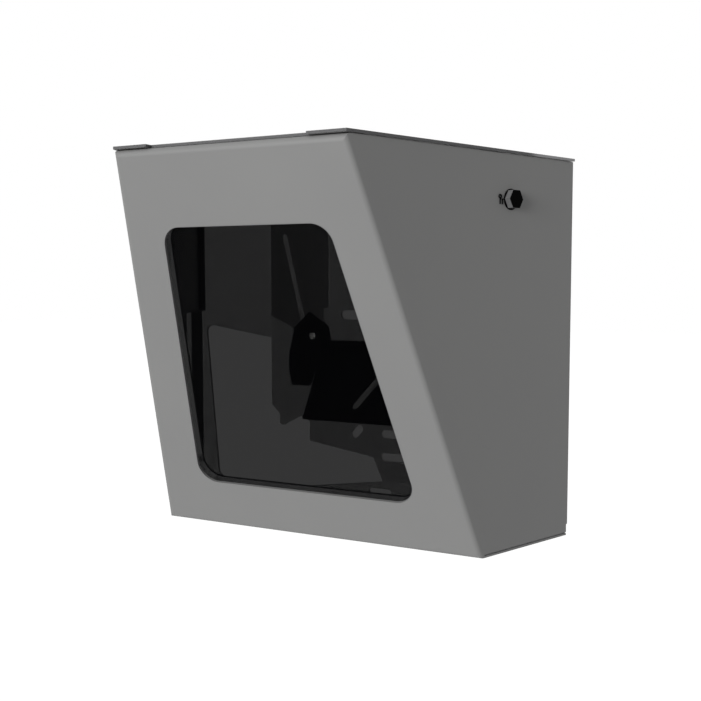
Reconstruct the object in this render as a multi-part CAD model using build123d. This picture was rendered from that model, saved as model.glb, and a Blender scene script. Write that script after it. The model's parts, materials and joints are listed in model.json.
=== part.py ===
from build123d import *
import math
import os

# Security camera housing of folded steel sheet, to be screwed to a wall.
# Millimetres. The front faces -Y, the wall is the plane Y = 0 and +Z is up.
# The origin is the middle of the four wall holes, on the rear face of the wall frame.

# Shell
sheet = 2.0
cover_height = 300.0
front_width = 186.0
depth_top = 222.0
depth_bottom = 98.0
side_splay = 22.0
fold_radius = 4.0
top_lip_depth = 20.0
rear_gap = 0.5
hole_gap = 0.1
corner_relief_height = 9.0
corner_relief_depth = 1.2
seam_width = 0.8
seam_depth = 0.8

# Wall frame
hole_width_apart = 300.0
top_hole_drop = 22.5
bottom_hole_rise = 8.5
wall_hole_diameter = 7.0
lid_gap = 0.5
lid_overhang = 1.0
lid_setback = 1.0
lid_notch_width = 130.0
lid_notch_depth = 6.0
frame_side_gap = 0.7
frame_fold_radius = 3.0
lid_fold_half_width = 168.0
fold_relief = 1.5
flange_depth = 49.0
flange_top_drop = 123.0
flange_foot_gap = 8.0
flange_lip = 5.0
rear_opening_half_top = 171.5
rear_opening_half_bottom = 158.0
rear_opening_drop = 135.0
rear_opening_middle_drop = 155.6
rear_opening_middle_half = 40.0
rear_opening_bottom_rise = 17.0
rear_opening_foot_rise = 29.0
rear_opening_foot_left = 24.0
rear_opening_foot_right = 64.0
rear_opening_slope_left = 101.0
rear_opening_slope_right = 13.0
rear_opening_radius = 7.0
wall_slot_drop = 124.0
wall_slot_length = 48.0
wall_slot_width = 8.0
drain_slot_length = 22.0
drain_slot_width = 5.0
drain_slot_offset = 15.0
drain_slot_rise = 19.0
rear_seal_width = 6.0
rear_seal_thickness = 3.5
rear_seal_from_edge = 0.5
rear_seal_top_gap = 5.0
rear_seal_flange_gap = 0.5

# Window
window_top = 59.7
window_bottom_margin = 42.62
window_half_top = 68.5
window_half_bottom = 99.0
window_radius = 16.0
pane_overlap = 14.0
pane_thickness = 5.0
gasket_thickness = 1.5
gasket_setback = 1.5
clamp_inner = 0.5
clamp_outer = 24.0
clamp_thickness = 2.0
stud_offset = 19.0
pane_stud_diameter = 4.0
pane_stud_length = 15.0
pane_nut_flats = 7.0
pane_nut_height = 3.2
pane_washer_diameter = 8.5
pane_washer_thickness = 0.8
pane_stud_clearance = 0.25

# Hinge along the bottom rear edge
hinge_length = 240.0
hinge_pitch = 20.0
hinge_leaf_thickness = 1.2
hinge_leaf_width = 15.0
hinge_pin_radius = 1.5
hinge_pin_fit = 0.08
hinge_knuckle_gap = 0.4
rivet_diameter = 3.0
rivet_head_diameter = 6.0
rivet_head_height = 1.1
rivet_pitch = 40.0

# Lock in the right side
lock_from_rear = 76.3
lock_drop = 33.4
lock_collar_diameter = 15.8
lock_collar_thickness = 0.6
lock_hex_flats = 13.0
lock_hex_height = 4.7
lock_cap_height = 0.5
lock_barrel_diameter = 12.0
lock_barrel_length = 16.0
lock_spindle_diameter = 6.0
lock_running_fit = 0.08
lock_nut_flats = 17.0
lock_nut_height = 4.0
cam_length = 26.0
cam_width = 12.0
cam_thickness = 2.5
cam_nut_flats = 7.0
cam_nut_height = 3.2
cam_thread_diameter = 4.0
keeper_thickness = 2.5
keeper_drop = 17.0
keeper_leg = 16.0
keeper_width = 18.0
cam_to_keeper = 0.6
wire_diameter = 0.9
wire_eye_radius = 1.3
wire_eye_from_collar = 4.6
wire_eye_rise = 1.7
wire_legs_apart = 2.6
wire_leg_drop = 4.0
wire_neck_drop = -0.3
wire_collar_gap = 0.04

# Camera bracket: a web on the back plate and a cheek that comes forwards
bracket_sheet = 2.0
cheek_x = -37.7
cheek_depth = 102.0
cheek_corner = 10.0
cheek_front_drop = 121.4
cheek_tail_depth = 64.5
cheek_tail_drop = 133.5
cheek_neck_depth = 52.0
cheek_neck_drop = 160.0
cheek_foot_front = 42.0
cheek_foot_rear = 22.0
cheek_foot_drop = 166.0
cheek_rear_depth = 14.0
cheek_rear_drop = 158.0
cheek_fold_drop = 118.0
cheek_slot_width = 6.5
cheek_slot_front = 79.9
cheek_slot_high_drop = 58.4
cheek_slot_rear = 47.0
cheek_slot_low_drop = 135.3
bracket_top_drop = 20.0
bracket_right = 62.0
web_foot_left = 18.0
web_foot_rise = 28.5
web_step_left = 9.0
web_step_rise = 49.5
web_arm_left = 56.0
web_arm_rise = 59.5
web_notch_left = 65.3
web_notch_rise = 78.0
web_notch_top_rise = 82.0
web_wing_inner = 88.0
web_wing_low_rise = 73.5
web_wing_tip_left = 83.7
web_wing_tip_rise = 72.1
web_wing_high_rise = 83.0
web_wing_left = 96.6
web_wing_top_rise = 91.0
web_slot_width = 7.0
web_slot_length = 30.0
web_slot_x = 31.7
web_slot_high_rise = 71.0
web_slot_low_rise = 50.5
web_slant_slot_length = 13.5
web_slant_slot_x = 7.0
web_slant_slot_rise = 71.5
web_slant_slot_angle = 48.0
stud_column = 5.0
stud_columns_apart = 45.0
stud_row_drop = 34.0
stud_rows_apart = 66.0
bracket_stud_diameter = 5.0
bracket_stud_fit = 0.25
bracket_stud_end = 2.5
bracket_nut_flats = 8.0
bracket_nut_height = 4.0

# Pivot and tilting plate
pivot_depth = 29.0
pivot_drop = 150.0
pivot_diameter = 6.0
pivot_fit = 0.08
pivot_bracket_fit = 0.15
pivot_washer_thickness = 0.8
pivot_washer_diameter = 12.0
pivot_flats = 10.0
pivot_head_height = 4.0
pivot_nut_height = 5.0
pivot_bolt_end = 3.0
ear_plate_depth = 76.0
ear_boss = 11.0
ear_corner = 5.0
ear_high_drop = 156.0
ear_low_drop = 168.0
peak_left = 15.5
peak_drop = 119.3
peak_foot_left = 29.6
peak_foot_drop = 132.5
shoulder_right = 2.4
shoulder_drop = 130.5
neck_right = 4.2
bar_drop = 142.0
bar_height = 3.0
leg_left = 32.0
leg_right = 14.8
leg_drop = 180.5
peak_rivet_left = 12.0
peak_rivet_drop = 139.0
tray_tilt = 32.0
tray_drop = 143.5
tray_length = 69.0
tray_left = -1.0
tray_right = 97.0
tray_slot_width = 6.5
tray_slot_length = 46.0
tray_slot_x = 52.0
tray_slot_down = 37.5
tray_slot_angle = 61.0

# Worked out from the sizes above
rise = depth_top - depth_bottom
slant = math.degrees(math.atan2(rise, cover_height))
window_height = math.hypot(rise, cover_height) - window_top - window_bottom_margin
row_height = cover_height - top_hole_drop - bottom_hole_rise
top_z = row_height / 2 + top_hole_drop
bottom_z = top_z - cover_height
splay_tan = math.tan(math.radians(side_splay))
splay_cos = math.cos(math.radians(side_splay))
slant_tan = rise / cover_height
slant_cos = math.cos(math.radians(slant))
hinge_radius = hinge_pin_radius + hinge_pin_fit + hinge_leaf_thickness
hinge_y = -sheet - hinge_radius
hinge_z = bottom_z - hinge_radius
reach = 20.0

front_plane = Plane(
    origin=(0, -depth_top, top_z),
    x_dir=(1, 0, 0),
    z_dir=(0, -slant_cos, -math.sin(math.radians(slant))),
)
side_normal = Vector(splay_cos, -math.sin(math.radians(side_splay)), 0)
side_along = Vector(math.sin(math.radians(side_splay)), splay_cos, 0)
lock_along = depth_top / splay_cos - lock_from_rear
lock_point = Vector(front_width / 2, -depth_top, top_z - lock_drop) + side_along * lock_along
lock_plane = Plane(origin=lock_point, x_dir=side_along, z_dir=side_normal)
front_out = Axis((0, 0, 0), front_plane.z_dir)
lock_out = Axis((0, 0, 0), side_normal)
lid_bottom = top_z + lid_gap
lid_top = lid_bottom + sheet


def from_top(*points):
    """Points given as a place across and a drop below the top of the cover."""
    return [(across, top_z - drop) for across, drop in points]


def half_width(y, inset=0.0):
    """Half the plan width at depth y, with the side planes moved inwards by inset."""
    return front_width / 2 + (depth_top + y) * splay_tan - inset / splay_cos


def plan_block(front, rear, low, high, inset=0.0):
    """A block between two heights that follows the splayed sides, moved inwards by inset."""
    corners = [
        (-half_width(front, inset), front),
        (half_width(front, inset), front),
        (half_width(rear, inset), rear),
        (-half_width(rear, inset), rear),
    ]
    return extrude(Plane.XY.offset(low) * make_face(Polyline(*corners, close=True)), high - low)


def profile_block(inset, rear):
    """The side profile of the housing, moved inwards by inset and run across the whole width."""
    high = top_z - inset
    low = bottom_z + inset
    shift = inset / slant_cos
    corners = [
        (-depth_top + (top_z - high) * slant_tan + shift, high),
        (rear, high),
        (rear, low),
        (-depth_top + (top_z - low) * slant_tan + shift, low),
    ]
    face = make_face(Polyline(*corners, close=True))
    across = 2 * half_width(reach) + reach
    return extrude(Plane.YZ.offset(-across / 2) * face, across)


def wedge(inset, rear, radius):
    """The wedge inside the given inset, with every edge of its front face rounded."""
    block = profile_block(inset, rear)
    block &= plan_block(-depth_top - reach, rear, bottom_z - reach, top_z + reach, inset)
    front = block.faces().sort_by(Axis.Y)[0]
    return fillet(front.edges(), radius)


def window_face(grow):
    """The window's outline on the front plane, grown outwards by grow."""
    lean = (window_half_bottom - window_half_top) / window_height
    side_grow = grow * math.hypot(1, lean)
    high = -window_top + grow
    low = -window_top - window_height - grow
    top_half = window_half_top - lean * grow + side_grow
    bottom_half = window_half_bottom + lean * grow + side_grow
    corners = [(-top_half, high), (top_half, high), (bottom_half, low), (-bottom_half, low)]
    face = make_face(Polyline(*corners, close=True))
    return fillet(face.vertices(), window_radius + grow)


def front_layer(face, depth, thickness):
    """A layer parallel to the front face, from the given depth inwards."""
    return extrude(front_plane.offset(-depth) * face, -thickness)


def stud_points():
    """Stud places round the window, on the front plane."""
    lean = (window_half_bottom - window_half_top) / window_height
    high = -window_top + stud_offset
    low = -window_top - window_height - stud_offset
    side = stud_offset * math.hypot(1, lean)
    points = []
    for part in (-0.75, 0.0, 0.75):
        points.append((part * window_half_top, high))
        points.append((part * window_half_bottom, low))
    for share in (0.12, 0.5, 0.88):
        half = window_half_top + (window_half_bottom - window_half_top) * share + side
        points.append((half, -window_top - window_height * share))
        points.append((-half, -window_top - window_height * share))
    return points


def hexagon(flats, turn=0.0):
    """A hexagon by its width across flats, with corners left and right when unturned."""
    return RegularPolygon(flats / math.sqrt(3), 6, rotation=turn)


def disc_stack(plane, points, diameter, start, height):
    """Round blocks at the given points of a plane, from start along its normal."""
    return [extrude(plane.offset(start) * Pos(x, y) * Circle(diameter / 2), height) for x, y in points]


def group(solids):
    """Separate like solids kept together as one node."""
    return Compound(children=list(solids))


def make_cover():
    outer = wedge(0.0, -rear_gap, fold_radius)
    inner = wedge(sheet, reach, fold_radius - sheet)
    body = outer - inner
    body -= plan_block(-depth_top + top_lip_depth, reach, top_z - 2 * sheet, top_z + reach, sheet)
    body -= extrude(front_plane * window_face(0.0), 4 * sheet, both=True)
    # The bottom stops short of the fixed hinge leaf
    leaf_front = -sheet - hinge_leaf_thickness
    body -= plan_block(leaf_front - rear_gap, reach, bottom_z - reach, bottom_z + 2 * sheet, sheet)
    # Small step in the rear bottom corners
    wide = 2 * half_width(0) + reach
    body -= Pos(0, -rear_gap, bottom_z) * Box(wide, 2 * corner_relief_depth, 2 * corner_relief_height)
    body -= extrude(lock_plane * Circle(lock_barrel_diameter / 2 + hole_gap), 4 * sheet, both=True)
    for x in rivet_places():
        body -= Pos(x, leaf_rivet_y(), bottom_z) * Cylinder(rivet_diameter / 2, 4 * sheet)
    # Seam between each side panel and the edge of the bottom panel below it
    seam_run = (depth_bottom - fold_radius) / splay_cos
    for side in (1, -1):
        normal = Vector(side * side_normal.X, side_normal.Y, 0)
        along = Vector(side * side_along.X, side_along.Y, 0)
        corner = Vector(side * half_width(0), 0, bottom_z + sheet)
        groove = Plane(origin=corner - along * (seam_run / 2), x_dir=along, z_dir=normal)
        body -= groove * Box(seam_run, seam_width, 2 * seam_depth)
    return body


def make_wall_frame():
    back_half = half_width(-sheet, sheet + frame_side_gap)
    back_high = lid_bottom - fold_relief
    plate = Pos(0, -sheet / 2, (back_high + bottom_z) / 2) * Box(2 * back_half, sheet, back_high - bottom_z)
    # Back and lid are one sheet, folded between two reliefs
    fold_run = 2 * (frame_fold_radius + fold_relief)
    path = FilletPolyline((0, 0), (0, lid_top), (-fold_run, lid_top), radius=frame_fold_radius)
    fold = make_face(offset(path, amount=sheet, side=Side.LEFT, kind=Kind.TANGENT, closed=True))
    if fold.bounding_box().max.X > 0.5:
        fold = make_face(offset(path, amount=sheet, side=Side.RIGHT, kind=Kind.TANGENT, closed=True))
    bend = extrude(Plane.YZ.offset(-lid_fold_half_width) * fold, 2 * lid_fold_half_width)
    lid = plan_block(-depth_top + lid_setback, 0, lid_bottom, lid_top, -lid_overhang)
    fold_zone = frame_fold_radius + fold_relief
    lid -= Pos(0, 0, lid_top) * Box(2 * (lid_fold_half_width + fold_relief), 2 * fold_zone, 4 * sheet)
    notch = Box(lid_notch_width, 2 * (lid_setback + lid_notch_depth), 4 * sheet)
    lid -= Pos(0, -depth_top, lid_top) * notch
    frame = plate + bend + lid
    frame = add_side_flanges(frame)
    return cut_back_plate(frame)


def add_side_flanges(frame):
    """Flanges that follow the cover's sides, each with a narrow lip that faces forwards."""
    high = top_z - flange_top_drop
    low = bottom_z + flange_foot_gap
    outside = sheet + frame_side_gap
    shell = plan_block(-flange_depth, 0, low, high, outside)
    shell -= plan_block(-flange_depth - reach, -sheet, low - reach, high + reach, outside + sheet)
    lips = plan_block(-flange_depth, -flange_depth + sheet, low, high, outside)
    lips -= plan_block(-flange_depth - reach, reach, low - reach, high + reach, outside + flange_lip)
    flanges = shell + lips
    corner_x = half_width(0, outside)
    edges = [e for e in flanges.edges().filter_by(Axis.Z) if abs(abs(e.center().X) - corner_x) < 1]
    flanges = fillet(edges, frame_fold_radius)
    plate_edge = Pos(0, 0, (high + low) / 2) * Box(4 * corner_x, 2 * sheet, high - low)
    inner_half = corner_x - 4 * frame_fold_radius
    keep = Pos(0, 0, (high + low) / 2) * Box(2 * inner_half, 4 * sheet, high - low + reach)
    return (frame - (plate_edge - keep)) + flanges


def cut_back_plate(frame):
    high = top_z - rear_opening_drop
    middle = top_z - rear_opening_middle_drop
    low = bottom_z + rear_opening_bottom_rise
    outline = Polyline(
        (-rear_opening_half_top, high),
        (-rear_opening_middle_half, middle),
        (rear_opening_middle_half, middle),
        (rear_opening_half_top, high),
        (rear_opening_half_bottom, low),
        (rear_opening_half_bottom - rear_opening_slope_right, low),
        (rear_opening_foot_right, bottom_z + rear_opening_foot_rise),
        (rear_opening_foot_left, bottom_z + rear_opening_foot_rise),
        (-rear_opening_half_bottom + rear_opening_slope_left, low),
        (-rear_opening_half_bottom, low),
        close=True,
    )
    face = make_face(outline)
    face = fillet(face.vertices(), rear_opening_radius)
    through = Plane.XZ.offset(-reach)
    frame -= extrude(through * face, 2 * reach, both=True)
    for x in (-hole_width_apart / 2, hole_width_apart / 2):
        for z in (row_height / 2, -row_height / 2):
            frame -= Pos(x, 0, z) * Rot(90, 0, 0) * Cylinder(wall_hole_diameter / 2, 4 * sheet)
    slot = SlotOverall(wall_slot_length, wall_slot_width)
    frame -= extrude(Plane.XZ * Pos(0, top_z - wall_slot_drop) * slot, 4 * sheet, both=True)
    drain = SlotOverall(drain_slot_length, drain_slot_width)
    drain = Plane.XZ * Pos(drain_slot_offset, bottom_z + drain_slot_rise) * drain
    frame -= extrude(drain, 4 * sheet, both=True)
    for x in rivet_places():
        frame -= Pos(x, 0, leaf_rivet_z()) * Rot(90, 0, 0) * Cylinder(rivet_diameter / 2, 4 * sheet)
    for x, z in bracket_studs_at():
        frame -= Pos(x, 0, z) * Rot(90, 0, 0) * Cylinder(bracket_stud_diameter / 2, 4 * sheet)
    return frame


def make_rear_seals():
    """Rubber strips on the back plate, one along each side edge above the flange."""
    outer = half_width(-sheet, sheet + frame_side_gap) - rear_seal_from_edge
    high = top_z - rear_seal_top_gap
    low = top_z - flange_top_drop + rear_seal_flange_gap
    seals = []
    for side in (1, -1):
        x = side * (outer - rear_seal_width / 2)
        strip = Pos(x, -sheet - rear_seal_thickness / 2, (high + low) / 2)
        strip = strip * Box(rear_seal_width, rear_seal_thickness, high - low)
        front = strip.faces().sort_by(Axis.Y)[0]
        seals.append(fillet(front.edges().filter_by(Axis.Z), rear_seal_thickness * 0.4))
    return group(seals)


def make_window():
    nodes = {}
    gasket = window_face(pane_overlap) - window_face(gasket_setback)
    depth = sheet
    nodes["pane_gasket"] = front_layer(gasket, depth, gasket_thickness)
    depth += gasket_thickness
    nodes["window_pane"] = front_layer(window_face(pane_overlap), depth, pane_thickness)
    depth += pane_thickness
    clamp = window_face(clamp_outer) - window_face(clamp_inner)
    for x, y in stud_points():
        clamp -= Pos(x, y) * Circle(pane_stud_diameter / 2 + pane_stud_clearance)
    nodes["pane_clamp"] = front_layer(clamp, depth, clamp_thickness)
    depth += clamp_thickness
    points = stud_points()
    studs = disc_stack(front_plane, points, pane_stud_diameter, -sheet, -pane_stud_length)
    nodes["pane_studs"] = group(chamfer(s.edges().sort_by(front_out)[0], 0.5) for s in studs)
    washers = []
    nuts = []
    for x, y in points:
        ring = Circle(pane_washer_diameter / 2) - Circle(pane_stud_diameter / 2 + 0.1)
        washers.append(front_layer(Pos(x, y) * ring, depth, pane_washer_thickness))
        nut = hexagon(pane_nut_flats) - Circle(pane_stud_diameter / 2)
        nuts.append(front_layer(Pos(x, y) * nut, depth + pane_washer_thickness, pane_nut_height))
    nodes["pane_washers"] = group(washers)
    nodes["pane_nuts"] = group(nuts)
    return nodes


def rivet_places():
    count = int(hinge_length // rivet_pitch)
    return [(i - (count - 1) / 2) * rivet_pitch for i in range(count)]


def leaf_rivet_z():
    return bottom_z + hinge_leaf_width * 0.6


def leaf_rivet_y():
    return hinge_y - hinge_radius - hinge_leaf_width * 0.55


def knuckle(centre, direction):
    """One rolled knuckle with the strip that joins it to its leaf, up or forwards."""
    length = hinge_pitch - hinge_knuckle_gap
    ring = Pos(centre, hinge_y, hinge_z) * Rot(0, 90, 0) * Cylinder(hinge_radius, length)
    half = hinge_leaf_thickness / 2
    if direction == "up":
        strip = Pos(centre, hinge_y + hinge_radius - half, hinge_z + hinge_radius)
        ring += strip * Box(length, hinge_leaf_thickness, 2 * hinge_radius)
    else:
        strip = Pos(centre, hinge_y - hinge_radius, hinge_z + hinge_radius - half)
        ring += strip * Box(length, 2 * hinge_radius, hinge_leaf_thickness)
    bore = Cylinder(hinge_pin_radius + hinge_pin_fit, hinge_length)
    return ring - Pos(centre, hinge_y, hinge_z) * Rot(0, 90, 0) * bore


def make_hinge():
    nodes = {}
    count = int(hinge_length // hinge_pitch)
    centres = [(i - (count - 1) / 2) * hinge_pitch for i in range(count)]
    half = hinge_leaf_thickness / 2
    start = hinge_radius + hinge_knuckle_gap
    run = count * hinge_pitch - hinge_knuckle_gap
    fixed_top = bottom_z + hinge_leaf_width
    fixed_low = hinge_z + start
    fixed = Pos(0, -sheet - half, (fixed_top + fixed_low) / 2)
    fixed = fixed * Box(run, hinge_leaf_thickness, fixed_top - fixed_low)
    moving = Pos(0, hinge_y - start - hinge_leaf_width / 2, bottom_z - half)
    moving = moving * Box(run, hinge_leaf_width, hinge_leaf_thickness)
    for index, centre in enumerate(centres):
        if index % 2 == 0:
            fixed += knuckle(centre, "up")
        else:
            moving += knuckle(centre, "forward")
    frame_rivets = []
    cover_rivets = []
    for x in rivet_places():
        fixed -= Pos(x, 0, leaf_rivet_z()) * Rot(90, 0, 0) * Cylinder(rivet_diameter / 2, reach)
        moving -= Pos(x, leaf_rivet_y(), bottom_z) * Cylinder(rivet_diameter / 2, reach)
        on_frame = Plane(origin=(x, -sheet - hinge_leaf_thickness, leaf_rivet_z()), z_dir=(0, -1, 0))
        on_cover = Plane(origin=(x, leaf_rivet_y(), bottom_z - hinge_leaf_thickness), z_dir=(0, 0, -1))
        frame_rivets.append(rivet(on_frame, sheet + hinge_leaf_thickness, False))
        cover_rivets.append(rivet(on_cover, sheet + hinge_leaf_thickness, True))
    nodes["hinge_fixed_leaf"] = fixed
    nodes["hinge_cover_leaf"] = moving
    pin_length = count * hinge_pitch + 2 * hinge_knuckle_gap
    pin = Pos(0, hinge_y, hinge_z) * Rot(0, 90, 0) * Cylinder(hinge_pin_radius, pin_length)
    nodes["hinge_pin"] = pin
    nodes["hinge_frame_rivets"] = group(frame_rivets)
    nodes["hinge_cover_rivets"] = group(cover_rivets)
    return nodes


def rivet(plane, grip, far_head):
    """A rivet with a low domed head on the plane, its shank through grip behind it."""
    head = extrude(plane * Circle(rivet_head_diameter / 2), rivet_head_height)
    head = fillet(head.edges().sort_by(Axis((0, 0, 0), plane.z_dir))[-1], rivet_head_height * 0.7)
    body = head + extrude(plane * Circle(rivet_diameter / 2), -grip)
    if far_head:
        far = extrude(plane.offset(-grip) * Circle(rivet_head_diameter * 0.4), -rivet_head_height)
        body += far
    return body


def make_lock():
    nodes = {}
    collar = extrude(lock_plane * Circle(lock_collar_diameter / 2), lock_collar_thickness)
    collar = chamfer(collar.edges().sort_by(lock_out)[-1], lock_collar_thickness * 0.4)
    barrel = extrude(lock_plane * Circle(lock_barrel_diameter / 2), -lock_barrel_length)
    bore = Circle(lock_spindle_diameter / 2 + lock_running_fit)
    nodes["lock_body"] = collar + barrel - extrude(lock_plane * bore, reach, both=True)
    nut = hexagon(lock_nut_flats) - Circle(lock_barrel_diameter / 2)
    nodes["lock_nut"] = extrude(lock_plane.offset(-sheet) * nut, -lock_nut_height)
    # The spindle turns in the barrel and carries the hexagon outside and the cam inside
    head_start = lock_collar_thickness + lock_running_fit
    head = extrude(lock_plane.offset(head_start) * hexagon(lock_hex_flats), lock_hex_height)
    cap_plane = lock_plane.offset(head_start + lock_hex_height)
    cap = extrude(cap_plane * hexagon(lock_hex_flats), lock_cap_height)
    nodes["lock_cap"] = chamfer(cap.faces().sort_by(lock_out)[-1].edges(), lock_cap_height * 0.4)
    cam_start = lock_barrel_length + lock_running_fit
    shaft = Circle(lock_spindle_diameter / 2)
    shaft = extrude(lock_plane.offset(head_start) * shaft, -(cam_start + head_start))
    thread_run = cam_thickness + cam_nut_height + 1.0
    thread = extrude(lock_plane.offset(-cam_start) * Circle(cam_thread_diameter / 2), -thread_run)
    nodes["lock_spindle"] = head + shaft + thread
    cam = SlotCenterToCenter(cam_length - cam_width / 2, cam_width)
    cam = Pos((cam_length - cam_width / 2) / 2, 0) * cam - Circle(cam_thread_diameter / 2)
    nodes["lock_cam"] = extrude(lock_plane.offset(-cam_start) * cam, -cam_thickness)
    cam_nut = hexagon(cam_nut_flats) - Circle(cam_thread_diameter / 2)
    cam_nut = lock_plane.offset(-cam_start - cam_thickness) * cam_nut
    nodes["lock_cam_nut"] = extrude(cam_nut, -cam_nut_height)
    nodes["lock_keeper"] = make_keeper(cam_start)
    nodes["lock_wire"] = make_wire()
    return nodes


def make_keeper(cam_start):
    """An angle under the lid that stands just in front of the cam when the cam is turned up."""
    rear_face = -cam_width / 2 - cam_to_keeper
    lid_height = lid_bottom - lock_point.Z
    middle = -cam_start - cam_thickness / 2
    leg = Pos(rear_face - keeper_thickness / 2, lid_height - keeper_drop / 2, middle)
    leg = leg * Box(keeper_thickness, keeper_drop, keeper_width)
    foot = Pos(rear_face - keeper_leg / 2, lid_height - keeper_thickness / 2, middle)
    foot = foot * Box(keeper_leg, keeper_thickness, keeper_width)
    angle = leg + foot
    corner = [e for e in angle.edges().filter_by(Axis.Z) if abs(e.center().X - rear_face) < 0.01
              and abs(e.center().Y - lid_height) < 0.01]
    return lock_plane * fillet(corner, keeper_thickness * 0.8)


def make_wire():
    """A small wire clip beside the collar: an eye, two legs and a neck that ends just off the collar."""
    radius = wire_diameter / 2
    eye_x = -lock_collar_diameter / 2 - wire_eye_from_collar
    leg_x = eye_x + wire_legs_apart
    end = -lock_collar_diameter / 2 - wire_collar_gap
    flat = lock_plane.offset(radius)
    parts = flat * Pos(eye_x, wire_eye_rise) * Torus(wire_eye_radius, radius)
    for x, high in ((eye_x, wire_eye_rise - wire_eye_radius), (leg_x, wire_neck_drop)):
        leg = Rot(90, 0, 0) * Cylinder(radius, high + wire_leg_drop)
        parts += flat * Pos(x, (high - wire_leg_drop) / 2) * leg
    neck = Rot(0, 90, 0) * Cylinder(radius * 0.8, end - eye_x)
    return parts + flat * Pos((eye_x + end) / 2, wire_neck_drop) * neck


def bracket_studs_at():
    rows = (top_z - stud_row_drop, top_z - stud_row_drop - stud_rows_apart)
    return [(x, z) for x in (stud_column, stud_column + stud_columns_apart) for z in rows]


def make_camera_bracket():
    def from_bottom(across, rise_up):
        return across, bottom_z + rise_up

    fold_high, top_right, fold_low = from_top(
        (cheek_x, bracket_top_drop), (bracket_right, bracket_top_drop), (cheek_x, cheek_fold_drop))
    web = make_face(Polyline(
        fold_high,
        top_right,
        from_bottom(bracket_right, web_foot_rise),
        from_bottom(web_foot_left, web_foot_rise),
        from_bottom(web_step_left, web_step_rise),
        from_bottom(-web_arm_left, web_arm_rise),
        from_bottom(-web_arm_left, web_notch_rise),
        from_bottom(-web_notch_left, web_notch_top_rise),
        from_bottom(-web_wing_tip_left, web_wing_tip_rise),
        from_bottom(-web_wing_inner, web_wing_low_rise),
        from_bottom(-web_wing_inner, web_wing_high_rise),
        from_bottom(-web_wing_left, web_wing_top_rise),
        (-web_wing_left, fold_low[1]),
        fold_low,
        close=True,
    ))
    web = extrude(Plane.XZ.offset(sheet) * web, bracket_sheet)
    level = SlotOverall(web_slot_length, web_slot_width)
    slanted = Rot(0, 0, web_slant_slot_angle) * SlotOverall(web_slant_slot_length, web_slot_width)
    web_slots = (
        (0, top_z - wall_slot_drop, SlotOverall(wall_slot_length, wall_slot_width)),
        (web_slot_x, bottom_z + web_slot_high_rise, level),
        (web_slot_x, bottom_z + web_slot_low_rise, level),
        (-web_slant_slot_x, bottom_z + web_slant_slot_rise, slanted),
    )
    for x, z, opening in web_slots:
        web -= extrude(Plane.XZ * Pos(x, z) * opening, reach, both=True)
    for x, z in bracket_studs_at():
        web -= Pos(x, 0, z) * Rot(90, 0, 0) * Cylinder(bracket_stud_diameter / 2 + bracket_stud_fit, reach)
    rear = -sheet - bracket_sheet
    cheek = make_face(Polyline(*from_top(
        (rear, bracket_top_drop),
        (-cheek_depth + cheek_corner, bracket_top_drop),
        (-cheek_depth, bracket_top_drop + cheek_corner),
        (-cheek_depth, cheek_front_drop),
        (-cheek_tail_depth, cheek_tail_drop),
        (-cheek_neck_depth, cheek_neck_drop),
        (-cheek_foot_front, cheek_foot_drop),
        (-cheek_foot_rear, cheek_foot_drop),
        (-cheek_rear_depth, cheek_rear_drop),
        (-cheek_rear_depth, cheek_fold_drop),
        (rear, cheek_fold_drop),
    ), close=True))
    cheek = extrude(Plane.YZ.offset(cheek_x) * cheek, bracket_sheet)
    start, end = from_top(
        (-cheek_slot_front, cheek_slot_high_drop), (-cheek_slot_rear, cheek_slot_low_drop))
    run = Vector(*end) - Vector(*start)
    middle = (Vector(*start) + Vector(*end)) / 2
    turn = math.degrees(math.atan2(run.Y, run.X))
    slot = Pos(middle.X, middle.Y) * Rot(0, 0, turn) * SlotCenterToCenter(run.length, cheek_slot_width)
    hole = Pos(-pivot_depth, top_z - pivot_drop) * Circle(pivot_diameter / 2 + pivot_bracket_fit)
    for opening in (slot, hole):
        cheek -= extrude(Plane.YZ.offset(cheek_x) * opening, 4 * bracket_sheet, both=True)
    # Where web and cheek meet is one rounded bend
    low, high = fold_low[1], fold_high[1]
    corner = Pos(cheek_x + bracket_sheet / 2, -sheet - bracket_sheet / 2, (low + high) / 2)
    joined = web + cheek + corner * Box(bracket_sheet, bracket_sheet, high - low)
    edges = [
        e
        for e in joined.edges().filter_by(Axis.Z)
        if abs(e.center().X - cheek_x) < 0.01
        and abs(e.center().Y + sheet) < 0.01
        and e.length > (high - low) / 2
    ]
    return fillet(edges, bracket_sheet * 0.9)


def make_bracket_fixings():
    nodes = {}
    studs = []
    nuts = []
    seat = sheet + bracket_sheet
    for x, z in bracket_studs_at():
        plane = Plane(origin=(x, 0, z), z_dir=(0, -1, 0))
        stud_length = seat + bracket_nut_height + bracket_stud_end
        stud = extrude(plane * Circle(bracket_stud_diameter / 2), stud_length)
        studs.append(chamfer(stud.edges().sort_by(Axis((0, 0, 0), plane.z_dir))[-1], 0.5))
        nut = hexagon(bracket_nut_flats) - Circle(bracket_stud_diameter / 2)
        nuts.append(extrude(plane.offset(seat) * nut, bracket_nut_height))
    nodes["bracket_studs"] = group(studs)
    nodes["bracket_nuts"] = group(nuts)
    return nodes


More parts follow.
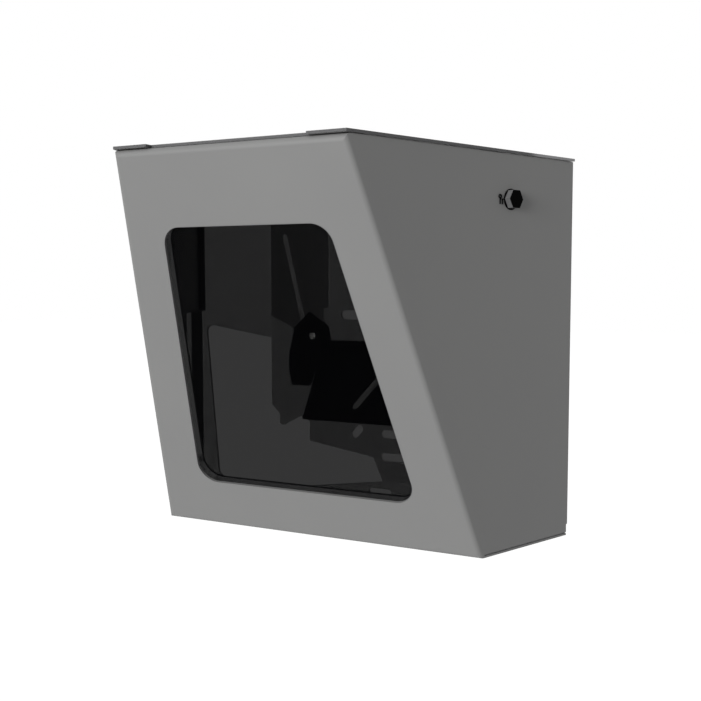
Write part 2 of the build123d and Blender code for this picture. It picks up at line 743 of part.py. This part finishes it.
def make_pivot():
    nodes = {}
    plane = Plane(origin=(cheek_x, -pivot_depth, top_z - pivot_drop), z_dir=(1, 0, 0))
    washer_face = Circle(pivot_washer_diameter / 2) - Circle(pivot_diameter / 2)
    inner_start = bracket_sheet
    nodes["pivot_washer"] = extrude(plane.offset(inner_start) * washer_face, pivot_washer_thickness)
    head_start = inner_start + pivot_washer_thickness + bracket_sheet + 2 * pivot_fit
    head = extrude(plane.offset(head_start) * hexagon(pivot_flats), pivot_head_height)
    shank_end = pivot_nut_height + pivot_washer_thickness + pivot_bolt_end
    shank = extrude(plane.offset(head_start) * Circle(pivot_diameter / 2), -(head_start + shank_end))
    nodes["pivot_bolt"] = chamfer(head.faces().sort_by(Axis.X)[-1].edges(), 0.4) + shank
    nodes["pivot_outer_washer"] = extrude(plane * washer_face, -pivot_washer_thickness)
    nut = hexagon(pivot_flats) - Circle(pivot_diameter / 2)
    nodes["pivot_nut"] = extrude(plane.offset(-pivot_washer_thickness) * nut, -pivot_nut_height)
    return nodes


def make_tilt_bracket():
    """An upright plate with a pointed head, a side ear back to the pivot and a sloping tray."""
    ear_left = cheek_x + bracket_sheet + pivot_washer_thickness + pivot_fit
    upright = make_face(Polyline(*from_top(
        (-peak_left, peak_drop),
        (shoulder_right, shoulder_drop),
        (neck_right, bar_drop),
        (tray_right, bar_drop),
        (tray_right, bar_drop + bar_height),
        (tray_left, bar_drop + bar_height),
        (-leg_right, leg_drop),
        (-leg_left, leg_drop),
        (ear_left, ear_low_drop),
        (ear_left, ear_high_drop),
        (-peak_foot_left, peak_foot_drop),
    ), close=True))
    rivet_at, = from_top((-peak_rivet_left, peak_rivet_drop))
    upright -= Pos(*rivet_at) * Circle(rivet_diameter / 2)
    upright = extrude(Plane.XZ.offset(ear_plate_depth - bracket_sheet) * upright, bracket_sheet)
    ear = make_face(Polyline(*from_top(
        (-ear_plate_depth, ear_high_drop),
        (-pivot_depth - ear_corner, pivot_drop - ear_boss),
        (-pivot_depth + ear_corner, pivot_drop - ear_boss),
        (-pivot_depth + ear_boss, pivot_drop - ear_corner),
        (-pivot_depth + ear_boss, pivot_drop + ear_corner),
        (-pivot_depth + ear_corner, pivot_drop + ear_boss),
        (-pivot_depth - ear_corner, pivot_drop + ear_boss),
        (-ear_plate_depth, ear_low_drop),
    ), close=True))
    ear -= Pos(-pivot_depth, top_z - pivot_drop) * Circle(pivot_diameter / 2 + pivot_fit)
    ear = extrude(Plane.YZ.offset(ear_left) * ear, bracket_sheet)
    # The tray's lower edge comes forwards, and its slanted slot takes the camera screw
    lean = math.radians(tray_tilt)
    tray_plane = Plane(
        origin=(0, -ear_plate_depth, top_z - tray_drop),
        x_dir=(1, 0, 0),
        z_dir=(0, -math.cos(lean), math.sin(lean)),
    )
    tray = Pos((tray_left + tray_right) / 2, -tray_length / 2)
    tray = tray * Rectangle(tray_right - tray_left, tray_length)
    slot = SlotOverall(tray_slot_length, tray_slot_width)
    tray -= Pos(tray_slot_x, -tray_slot_down) * Rot(0, 0, tray_slot_angle) * slot
    tray = extrude(tray_plane * tray, -bracket_sheet)
    head_plane = Plane(origin=(rivet_at[0], -ear_plate_depth, rivet_at[1]), z_dir=(0, -1, 0))
    return {"tilt_bracket": upright + ear + tray, "peak_rivet": rivet(head_plane, bracket_sheet, True)}


parts = {"cover": make_cover(), "wall_frame": make_wall_frame()}
parts["rear_seals"] = make_rear_seals()
parts.update(make_window())
parts.update(make_hinge())
parts.update(make_lock())
parts["camera_bracket"] = make_camera_bracket()
parts.update(make_bracket_fixings())
parts.update(make_pivot())
parts.update(make_tilt_bracket())

os.makedirs("parts", exist_ok=True)
for name, shape in parts.items():
    export_step(shape, f"parts/{name}.step")
    print(name, len(shape.solids()), round(shape.volume, 1))
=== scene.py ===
import json
import math

import bpy
import numpy as np
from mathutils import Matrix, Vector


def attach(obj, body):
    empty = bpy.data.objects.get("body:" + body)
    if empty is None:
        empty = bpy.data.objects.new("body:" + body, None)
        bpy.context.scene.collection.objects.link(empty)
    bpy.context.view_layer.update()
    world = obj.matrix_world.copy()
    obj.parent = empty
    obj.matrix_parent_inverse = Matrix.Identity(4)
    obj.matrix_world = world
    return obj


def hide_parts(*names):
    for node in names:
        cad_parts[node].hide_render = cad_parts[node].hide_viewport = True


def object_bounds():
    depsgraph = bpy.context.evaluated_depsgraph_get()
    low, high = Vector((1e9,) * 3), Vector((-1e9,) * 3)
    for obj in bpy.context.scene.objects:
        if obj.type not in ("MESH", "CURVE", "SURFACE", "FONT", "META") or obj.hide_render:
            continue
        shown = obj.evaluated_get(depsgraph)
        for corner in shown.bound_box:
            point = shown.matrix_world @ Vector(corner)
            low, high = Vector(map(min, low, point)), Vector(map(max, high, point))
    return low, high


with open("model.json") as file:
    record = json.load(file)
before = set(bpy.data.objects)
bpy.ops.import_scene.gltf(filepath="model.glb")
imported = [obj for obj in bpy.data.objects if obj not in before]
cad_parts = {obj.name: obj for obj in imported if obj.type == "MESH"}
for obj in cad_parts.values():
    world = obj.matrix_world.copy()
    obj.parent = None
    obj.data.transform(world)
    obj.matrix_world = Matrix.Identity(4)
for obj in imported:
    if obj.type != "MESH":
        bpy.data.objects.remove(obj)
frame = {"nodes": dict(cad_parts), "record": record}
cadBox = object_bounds()
nodes = frame["nodes"]
print("frame loaded,", len(nodes), "nodes")

mm = 0.001


def fromHex(code):
    # one sRGB hex colour to the linear values that the shaders take
    parts = [int(code[i:i + 2], 16) / 255 for i in (1, 3, 5)]
    return [p / 12.92 if p <= 0.04045 else ((p + 0.055) / 1.055) ** 2.4 for p in parts] + [1.0]


def addNode(tree, kind, settings=None, **links):
    # adds a node; a link is a value, or (node, output name), and i2 stands for the third input
    node = tree.nodes.new(kind)
    for key, value in (settings or {}).items():
        setattr(node, key, value)
    for key, value in links.items():
        byNumber = key[0] == "i" and key[1:].isdigit()
        socket = node.inputs[int(key[1:]) if byNumber else key.replace("_", " ")]
        if isinstance(value, tuple) and hasattr(value[0], "outputs"):
            tree.links.new(value[0].outputs[value[1]], socket)
        else:
            socket.default_value = value
    return node


def newMaterial(name):
    material = bpy.data.materials.new(name)
    material.use_nodes = True
    material.node_tree.nodes.clear()
    return material, material.node_tree


def finishMaterial(tree, shader, output="BSDF"):
    out = addNode(tree, "ShaderNodeOutputMaterial")
    tree.links.new(shader.outputs[output], out.inputs["Surface"])


def newObject(name, data):
    made = bpy.data.objects.new(name, data)
    bpy.context.scene.collection.objects.link(made)
    return made


# Powder coat on folded steel: a semi-matt polyester film. Its fine orange peel breaks up the highlights,
# it thins and darkens where it wraps a cut edge, and fine dust lies in slow clouds. The edge darkening is
# partly painted shade: the same mask also darkens inside corners and creases, where shade falls
powderCoat = {
    "base": "#8b8b8b", "dusty": "#929291", "edge": "#6a6a6b", "edgeMm": 1.1, "edgeFrom": 0.99,
    "edgeFull": 0.80, "rough": 0.56, "roughSpread": 0.08, "peelMm": 1.6, "peelDepthMm": 0.006,
    "peelStrength": 0.8, "cloudMm": 90.0, "shine": 0.4, "metal": 0.0,
}
# The same coat on the wall frame, with painted shade on the lid's rim: the faces above rimAboveMm whose
# normal rises by less than uprightBelow take the dark edge colour all over, in place of the shade there
frameCoat = dict(powderCoat, edge="#585859", rimAboveMm=157.3, uprightBelow=0.5)
# A thinner coat on the laser-cut bracket, with its sharp cut edges near white: partly bare cut steel,
# partly a painted highlight
bracketCoat = dict(powderCoat, base="#7d7d7d", dusty="#838382", edge="#f0f0f0", edgeMm=0.9)
# The clamp frame behind the pane, matt and darker than the coat: the darker grey is painted shade,
# standing in for the shade it would lie in without the inside lamp
clampPaintedShadeCoat = dict(powderCoat, base="#555556", dusty="#5b5b5a", edge="#48484a", rough=0.7)
# Phosphated steel on the lock spindle: dull mid grey
phosphated = dict(powderCoat, base="#6a6a6c", dusty="#6e6e6e", edge="#58585a", rough=0.6, peelMm=0.5,
                  shine=0.2)
# Black oxide on steel: thin, close to black, with a faint blue cast and a dull satin
blackOxide = dict(powderCoat, base="#050506", dusty="#08080a", edge="#141415", rough=0.5, peelMm=0.8,
                  shine=0.02)
# Bright zinc plate: grey-white metal with a slow blue-yellow passivation cast and dull grain
zincPlate = dict(powderCoat, base="#b9bcc0", dusty="#c4c3b8", edge="#9a9c9e", rough=0.38, peelMm=0.5,
                 cloudMm=14.0, shine=0.5, metal=1.0)
# Tumbled aluminium on the domed rivet: pale, with the sheen scattered by fine dents
tumbledAluminium = dict(zincPlate, base="#ececea", dusty="#e4e4e2", edge="#dcdcda", rough=0.7)
# EPDM rubber, extruded: matt dark grey with a dry bloom
epdm = dict(powderCoat, base="#2b2b2b", dusty="#333332", edge="#242424", rough=0.85, peelMm=0.6, shine=0.2)
# Nylon, moulded: black on the lock cap, natural on the spacing washer
blackNylon = dict(powderCoat, base="#030303", dusty="#050505", edge="#0a0a0a", rough=0.6, peelMm=0.7,
                  shine=0.01)
naturalNylon = dict(powderCoat, base="#dedbd2", dusty="#d5d2c8", edge="#d8d4ca", rough=0.5, peelMm=0.8)


def withPaintedRimShade(tree, edge, place, own, values):
    # painted shade on the lid's rim: the edge mask, made full on the upright faces above rimAboveMm
    height = addNode(tree, "ShaderNodeSeparateXYZ", i0=(place, "Object"))
    above = addNode(tree, "ShaderNodeMath", {"operation": "GREATER_THAN"}, i0=(height, "Z"),
                    i1=values["rimAboveMm"] * mm)
    facing = addNode(tree, "ShaderNodeSeparateXYZ", i0=(own, "Normal"))
    rise = addNode(tree, "ShaderNodeMath", {"operation": "ABSOLUTE"}, i0=(facing, "Z"))
    upright = addNode(tree, "ShaderNodeMath", {"operation": "LESS_THAN"}, i0=(rise, "Value"),
                      i1=values["uprightBelow"])
    rim = addNode(tree, "ShaderNodeMath", {"operation": "MULTIPLY"}, i0=(above, "Value"),
                  i1=(upright, "Value"))
    most = addNode(tree, "ShaderNodeMath", {"operation": "MAXIMUM"}, i0=edge, i1=(rim, "Value"))
    return most, "Value"


def makeFinish(name, values):
    material, tree = newMaterial(name)
    place = addNode(tree, "ShaderNodeTexCoord")
    cloud = addNode(tree, "ShaderNodeTexNoise", Vector=(place, "Object"),
                    Scale=1 / (values["cloudMm"] * mm), Detail=3.0)
    tone = addNode(tree, "ShaderNodeMix", {"data_type": "RGBA"}, Factor=(cloud, "Fac"),
                   i6=fromHex(values["base"]), i7=fromHex(values["dusty"]))
    # an edge is where the normal averaged over edgeMm leaves the surface's own
    soft = addNode(tree, "ShaderNodeBevel", {"samples": 6}, Radius=values["edgeMm"] * mm)
    own = addNode(tree, "ShaderNodeNewGeometry")
    same = addNode(tree, "ShaderNodeVectorMath", {"operation": "DOT_PRODUCT"}, i0=(soft, "Normal"),
                   i1=(own, "Normal"))
    mask = addNode(tree, "ShaderNodeMapRange", i0=(same, "Value"), From_Min=values["edgeFrom"],
                   From_Max=values["edgeFull"], To_Min=0.0, To_Max=1.0)
    edge = (mask, "Result")
    # on the wall frame, painted shade: the whole lid rim takes the dark edge colour
    if "rimAboveMm" in values:
        edge = withPaintedRimShade(tree, edge, place, own, values)
    # the edge colour goes on outer edges and inside corners alike: partly coat wear, partly painted shade,
    # and on the bracket a painted highlight
    edgeWearAndPaintedLight = addNode(tree, "ShaderNodeMix", {"data_type": "RGBA"}, Factor=edge, i6=(tone, 2),
                   i7=fromHex(values["edge"]))
    peel = addNode(tree, "ShaderNodeTexNoise", Vector=(place, "Object"),
                   Scale=1 / (values["peelMm"] * mm), Detail=1.0)
    bump = addNode(tree, "ShaderNodeBump", Height=(peel, "Fac"), Distance=values["peelDepthMm"] * mm,
                   Strength=values["peelStrength"])
    spread = values["roughSpread"] / 2
    rough = addNode(tree, "ShaderNodeMapRange", i0=(cloud, "Fac"), To_Min=values["rough"] - spread,
                    To_Max=values["rough"] + spread)
    shader = addNode(tree, "ShaderNodeBsdfPrincipled", Base_Color=(edgeWearAndPaintedLight, 2), Metallic=values["metal"],
                     Roughness=(rough, "Result"), Specular_IOR_Level=values["shine"],
                     Normal=(bump, "Normal"))
    finishMaterial(tree, shader)
    return material


# Smoked polycarbonate: a flat, glossy, hard-coated sheet, whose two faces together let about 3 percent of
# the light through
smokedPane = {"tint": "#030304", "rough": 0.05, "cover": 0.822, "shine": 0.006}


def makeSmokedPane(values):
    material, tree = newMaterial("smokedPolycarbonate")
    sheet = addNode(tree, "ShaderNodeBsdfPrincipled", Base_Color=fromHex(values["tint"]),
                    Roughness=values["rough"], Specular_IOR_Level=values["shine"], Alpha=values["cover"])
    finishMaterial(tree, sheet)
    return material


finishes = {
    "painted_steel": makeFinish("powderCoatedSteel", powderCoat),
    "black_steel": makeFinish("blackOxideSteel", blackOxide),
    "zinc_plated_steel": makeFinish("brightZincPlate", zincPlate),
    "rubber": makeFinish("extrudedEpdm", epdm),
    "black_plastic": makeFinish("mouldedBlackNylon", blackNylon),
    "nylon": makeFinish("mouldedNaturalNylon", naturalNylon),
    "smoked_glazing": makeSmokedPane(smokedPane),
}
ownFinishes = {
    "wall_frame": makeFinish("powderCoatedFrameSteelPaintedRimShade", frameCoat),
    "camera_bracket": makeFinish("laserCutSteelPaintedEdgeHighlight", bracketCoat),
    "pane_clamp": makeFinish("clampSteelPaintedShade", clampPaintedShadeCoat),
    "lock_spindle": makeFinish("phosphatedSteel", phosphated),
    "peak_rivet": makeFinish("tumbledAluminium", tumbledAluminium),
}
for part in frame["record"]["subparts"]:
    mesh = nodes[part["node"]].data
    mesh.materials.clear()
    mesh.materials.append(ownFinishes.get(part["node"], finishes[part["material_slot"]]))
print("finishes made")


def makePiece(name, points, faces, slot, body, stands):
    # one new piece from points in millimetres, riding on a body in place of the CAD nodes it stands for
    mesh = bpy.data.meshes.new(name)
    mesh.from_pydata((np.asarray(points) * mm).tolist(), [], faces)
    mesh.validate()
    mesh.update()
    mesh.materials.append(finishes[slot])
    piece = newObject(name, mesh)
    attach(piece, body)
    if stands:
        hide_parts(*stands)


def gridFaces(rows, around):
    # quads of a grid that closes round on itself: point (i, j) is i * around + j
    i, j = np.meshgrid(np.arange(rows - 1), np.arange(around), indexing="ij")
    a = i * around + j
    b = i * around + (j + 1) % around
    return np.stack([a, b, b + around, a + around], axis=-1).reshape(-1, 4)


def turnedSurface(radius, height, angle):
    # point = (r cos t, r sin t, z) over rows of radius and height and a full turn of t
    x = radius * np.cos(angle)
    y = radius * np.sin(angle)
    z = np.broadcast_to(height, x.shape)
    return np.stack([x, y, z], axis=-1).reshape(-1, 3)


def placed(points, origin, normal):
    # local z runs along normal, which is square to the world's x, and local x along the world's
    axes = np.stack([np.array([1.0, 0.0, 0.0]), np.cross(normal, (1.0, 0.0, 0.0)), normal])
    return origin + points @ axes


def joined(shapes):
    # several (points, quads) shapes as one mesh
    points, faces, count = [], [], 0
    for part, quads in shapes:
        points.append(part)
        faces.extend((quads + count).tolist())
        count += len(part)
    return np.concatenate(points), faces


def threadShape(diameter, pitch, length, chamfer, around=36, perTurn=8, depthShare=0.6, tip=1e-4):
    # radius = outer - depth * tri(z / pitch - t / 2 pi), a one-start right-hand thread, tapered at both
    # ends to a flat that a ring of radius tip closes
    z = np.linspace(0.0, length, int(length / pitch * perTurn) + 1)[:, None]
    t = np.linspace(0, 2 * np.pi, around, endpoint=False)[None, :]
    wave = np.abs(((z / pitch - t / (2 * np.pi)) % 1.0) * 2 - 1)
    radius = diameter / 2 - depthShare * pitch * wave
    fromEnd = np.minimum(z, length - z)
    radius = np.minimum(radius, diameter / 2 - chamfer + fromEnd)
    ring = np.full((1, around), tip)
    radius = np.concatenate([ring, radius, ring])
    z = np.concatenate([z[:1], z, z[-1:]])
    return turnedSurface(radius, z, t), gridFaces(len(z), around)


def nutShape(flats, height, bore, around=48, rows=9, faceShare=0.97, lipShare=0.06, coneDeg=30):
    # radius = min(hexagon(t), cone(z)): flats / 2 / cos(t mod 60 deg), chamfered at coneDeg at both faces,
    # with a lip of lipShare of the flats at the bore
    t = np.linspace(0, 2 * np.pi, around, endpoint=False)[None, :]
    hexagon = flats / 2 / np.cos((t + np.pi / 6) % (np.pi / 3) - np.pi / 6)
    z = height * (0.5 - 0.5 * np.cos(np.linspace(0, np.pi, rows)))[:, None]
    fromEnd = np.minimum(z, height - z)
    outer = np.minimum(hexagon, flats / 2 * faceShare + fromEnd / math.tan(math.radians(coneDeg)))
    lip = lipShare * flats
    inner = np.full((1, around), bore / 2)
    radius = np.concatenate([inner, inner + lip, outer, inner + lip, inner, inner])
    z = np.concatenate([[[lip]], [[0.0]], z, [[height]], [[height - lip]], [[lip]]])
    return turnedSurface(radius, z, t), gridFaces(len(z), around)


def fixing(v, foot, inward, studLength, nutAt):
    # a threaded stud from foot, and its nut nutAt further along
    stud, studQuads = threadShape(v["studDiameter"], v["studPitch"], studLength, v["studChamfer"])
    nut, nutQuads = nutShape(v["nutFlats"], v["nutHeight"], v["studDiameter"] + v["boreGap"])
    return (placed(stud, foot, inward), studQuads), (placed(nut, foot + inward * nutAt, inward), nutQuads)


# Window fixings: M4 weld studs with threads, and chamfered hexagon nuts
windowFixings = {
    "origin": (0.0, -222.0, 157.0), "slantRise": 124.0, "slantRun": 300.0,
    "topMm": 59.7, "bottomMarginMm": 42.62, "halfTop": 68.5, "halfBottom": 99.0,
    "studOffset": 19.0, "alongRows": (-0.75, 0.0, 0.75), "downSides": (0.12, 0.5, 0.88),
    "studDiameter": 4.0, "studPitch": 0.7, "studLength": 15.0, "studChamfer": 0.5,
    "sheet": 2.0, "seat": 10.5, "washer": 0.8, "nutFlats": 7.0, "nutHeight": 3.2, "boreGap": 0.02,
}


def windowStudPlaces(v):
    # across and up the front, from the middle of its top edge
    height = math.hypot(v["slantRise"], v["slantRun"]) - v["topMm"] - v["bottomMarginMm"]
    widening = v["halfBottom"] - v["halfTop"]
    beside = v["studOffset"] * math.hypot(1, widening / height)
    rows = ((v["halfTop"], -v["topMm"] + v["studOffset"]),
            (v["halfBottom"], -v["topMm"] - height - v["studOffset"]))
    places = [(share * half, level) for share in v["alongRows"] for half, level in rows]
    for share in v["downSides"]:
        half = v["halfTop"] + widening * share + beside
        places += [(side * half, -v["topMm"] - height * share) for side in (1, -1)]
    return places


def addWindowFixings(v):
    slope = math.atan2(v["slantRise"], v["slantRun"])
    inward = np.array([0.0, math.cos(slope), math.sin(slope)])
    up = np.cross((1.0, 0.0, 0.0), inward)
    studs, nuts = [], []
    for x, y in windowStudPlaces(v):
        foot = np.array(v["origin"]) + np.array([x, 0.0, 0.0]) + up * y + inward * v["sheet"]
        stud, nut = fixing(v, foot, inward, v["studLength"], v["seat"] + v["washer"] - v["sheet"])
        studs.append(stud)
        nuts.append(nut)
    makePiece("windowStuds", *joined(studs), "zinc_plated_steel", "cover", ["pane_studs"])
    makePiece("windowNuts", *joined(nuts), "zinc_plated_steel", "cover", ["pane_nuts"])


addWindowFixings(windowFixings)
print("window fixings made")

# Bracket fixings: M5 clinch studs and nuts on the web
bracketFixings = {
    "columns": (5.0, 50.0), "rows": (123.0, 57.0), "seat": 4.0, "studDiameter": 5.0, "studPitch": 0.8,
    "studChamfer": 0.5, "studEnd": 2.5, "nutFlats": 8.0, "nutHeight": 4.0, "boreGap": 0.02,
}


def addBracketFixings(v):
    forward = np.array([0.0, -1.0, 0.0])
    studLength = v["seat"] + v["nutHeight"] + v["studEnd"]
    studs, nuts = [], []
    for x in v["columns"]:
        for z in v["rows"]:
            stud, nut = fixing(v, np.array([x, 0.0, z]), forward, studLength, v["seat"])
            studs.append(stud)
            nuts.append(nut)
    makePiece("bracketStuds", *joined(studs), "zinc_plated_steel", "wall_frame", ["bracket_studs"])
    makePiece("bracketNuts", *joined(nuts), "zinc_plated_steel", "wall_frame", ["bracket_nuts"])


addBracketFixings(bracketFixings)
print("bracket fixings made")

# Flange linings: a dark sheet in the rubber finish on the inner face of each side flange of the wall
# frame, which the inside lamp doesn't light, so that face stays dark beside the back wall
flangeLining = {
    "rear": (176.82, -2.0), "front": (158.64, -47.0), "low": -135.0, "high": 34.0,
    "rearMargin": 3.5, "frontMargin": 1.5, "endMargin": 1.0, "lift": 0.05, "thick": 1.2,
}


def addFlangeLinings(v):
    # each lining is a block: a plan of four corners, swept from low to high
    rear, front = np.array(v["rear"]), np.array(v["front"])
    run = (front - rear) / np.linalg.norm(front - rear)
    inward = np.array([run[1], -run[0]])
    start, end = rear + run * v["rearMargin"], front - run * v["frontMargin"]
    under, over = inward * v["lift"], inward * (v["lift"] + v["thick"])
    plan = [start + under, end + under, end + over, start + over]
    walls = [(i, (i + 1) % 4, (i + 1) % 4 + 4, i + 4) for i in range(4)]
    quads = np.array([(3, 2, 1, 0), (4, 5, 6, 7)] + walls)
    shapes = []
    for side in (1, -1):
        ring = [(side * x, y) for x, y in plan[::-side]]
        levels = (v["low"] + v["endMargin"], v["high"] - v["endMargin"])
        shapes.append((np.array([(x, y, level) for level in levels for x, y in ring]), quads))
    makePiece("flangeLinings", *joined(shapes), "rubber", "wall_frame", [])


addFlangeLinings(flangeLining)
print("flange linings made")

# Studio: white floor and world as the camera sees them, one broad soft light from the front and a little
# above, and a second for the parts behind the window. Lengths without a unit in their name are in metres
studio = {
    "eye": (0.37505, -0.76418, 0.06373), "yawDeg": 27.088, "pitchDeg": -4.194, "lensMm": 49.2,
    "sensorMm": 36.0, "clipStart": 0.01,
    "worldLight": 0.25, "keyLight": 0.755, "keySpreadDeg": 24.0, "keyFrom": (-0.18, -1.0, 0.10),
    "insideLight": 1.80, "insideSpreadDeg": 2.0, "insideFrom": (0.28, -0.95, 0.0),
    "insideParts": ("wall_frame", "camera_bracket", "pane_clamp", "tilt_bracket", "peak_rivet",
                    "bracketStuds", "bracketNuts"),
    "flagAtY": -0.236, "flagHalf": 0.22, "flagZ": (0.1535, 0.166),
    "floorColour": "#e4e4e4", "floorLift": 0.80, "floorSize": 16.0, "floorDrop": 0.26,
}


def seenDirectly(tree):
    # 1 for what the camera sees itself, in a reflection or through glass
    ray = addNode(tree, "ShaderNodeLightPath")
    eye = addNode(tree, "ShaderNodeMath", {"operation": "MAXIMUM"}, i0=(ray, "Is Camera Ray"),
                  i1=(ray, "Is Glossy Ray"))
    return addNode(tree, "ShaderNodeMath", {"operation": "MAXIMUM"}, i0=(eye, "Value"),
                   i1=(ray, "Is Transmission Ray"))


def makeCamera(values):
    camera = newObject("camera", bpy.data.cameras.new("camera"))
    camera.location = values["eye"]
    camera.rotation_euler = (math.radians(90 + values["pitchDeg"]), 0, math.radians(values["yawDeg"]))
    camera.data.lens = values["lensMm"]
    camera.data.sensor_width = values["sensorMm"]
    camera.data.clip_start = values["clipStart"]
    bpy.context.scene.camera = camera


def makeSun(name, start, level, spreadDeg):
    # parallel light from start towards the origin; level 1 shows a colour about as it is written
    lamp = newObject(name, bpy.data.lights.new(name, "SUN"))
    lamp.location = start
    away = np.array(start)
    polar = math.acos(away[2] / np.linalg.norm(away))
    lamp.rotation_euler = (polar, 0, math.atan2(away[1], away[0]) + math.pi / 2)
    lamp.data.energy = level * math.pi
    lamp.data.angle = math.radians(spreadDeg)
    return lamp


def stagePlane(name, corners, material):
    mesh = bpy.data.meshes.new(name)
    mesh.from_pydata(corners, [], [(0, 1, 2, 3)])
    mesh.materials.append(material)
    plane = newObject(name, mesh)
    return plane


def newCollection(name, pieces):
    collection = bpy.data.collections.new(name)
    for piece in pieces:
        collection.objects.link(piece)
    return collection


def makeLamps(values):
    key = makeSun("keyLight", values["keyFrom"], values["keyLight"], values["keySpreadDeg"])
    # the second lamp lights only the parts behind the window, which the dark pane would leave black
    inside = makeSun("insideLight", values["insideFrom"], values["insideLight"], values["insideSpreadDeg"])
    behind = [nodes.get(name) or bpy.data.objects[name] for name in values["insideParts"]]
    inside.light_linking.receiver_collection = newCollection("litInside", behind)

    # a flag, as on a photographer's stand, keeps that lamp alone off the front rim of the lid
    y, half, (low, high) = values["flagAtY"], values["flagHalf"], values["flagZ"]
    corners = [(-half, y, low), (half, y, low), (half, y, high), (-half, y, high)]
    flag = stagePlane("flag", corners, finishes["rubber"])
    flag.visible_camera = flag.visible_diffuse = flag.visible_glossy = flag.visible_transmission = False
    inside.light_linking.blocker_collection = newCollection("shadingInside", [flag])
    others = newCollection("notShadingKey", [flag])
    others.collection_objects[0].light_linking.link_state = "EXCLUDE"
    key.light_linking.blocker_collection = others


def makeWorld(values):
    world = bpy.data.worlds.new("studioWorld")
    bpy.context.scene.world = world
    world.use_nodes = True
    tree = world.node_tree
    tree.nodes.clear()
    seen = seenDirectly(tree)
    dim = addNode(tree, "ShaderNodeBackground", Color=(1, 1, 1, 1), Strength=values["worldLight"])
    white = addNode(tree, "ShaderNodeBackground", Color=(1, 1, 1, 1), Strength=1.0)
    mix = addNode(tree, "ShaderNodeMixShader", i0=(seen, "Value"), i1=(dim, "Background"),
                  i2=(white, "Background"))
    out = addNode(tree, "ShaderNodeOutputWorld")
    tree.links.new(mix.outputs["Shader"], out.inputs["Surface"])


def makeFloor(values):
    # pale, and low enough for the open cover to hang clear: its own colour takes the shadow, and a lift
    # that only the eye and reflections meet makes the rest white
    material, tree = newMaterial("paleFloorPaint")
    seen = seenDirectly(tree)
    matt = addNode(tree, "ShaderNodeBsdfDiffuse", Color=fromHex(values["floorColour"]))
    lift = addNode(tree, "ShaderNodeEmission", Color=(1, 1, 1, 1), Strength=values["floorLift"])
    both = addNode(tree, "ShaderNodeAddShader", i0=(matt, "BSDF"), i1=(lift, "Emission"))
    mix = addNode(tree, "ShaderNodeMixShader", i0=(seen, "Value"), i1=(matt, "BSDF"), i2=(both, "Shader"))
    finishMaterial(tree, mix, "Shader")
    half = values["floorSize"] / 2
    low = cadBox[0][2] - values["floorDrop"]
    corners = [(-half, -half, low), (half, -half, low), (half, half, low), (-half, half, low)]
    stagePlane("floor", corners, material)


makeCamera(studio)
makeLamps(studio)
makeWorld(studio)
makeFloor(studio)
print("studio made")

view = bpy.context.scene.view_settings
view.view_transform = "Standard"
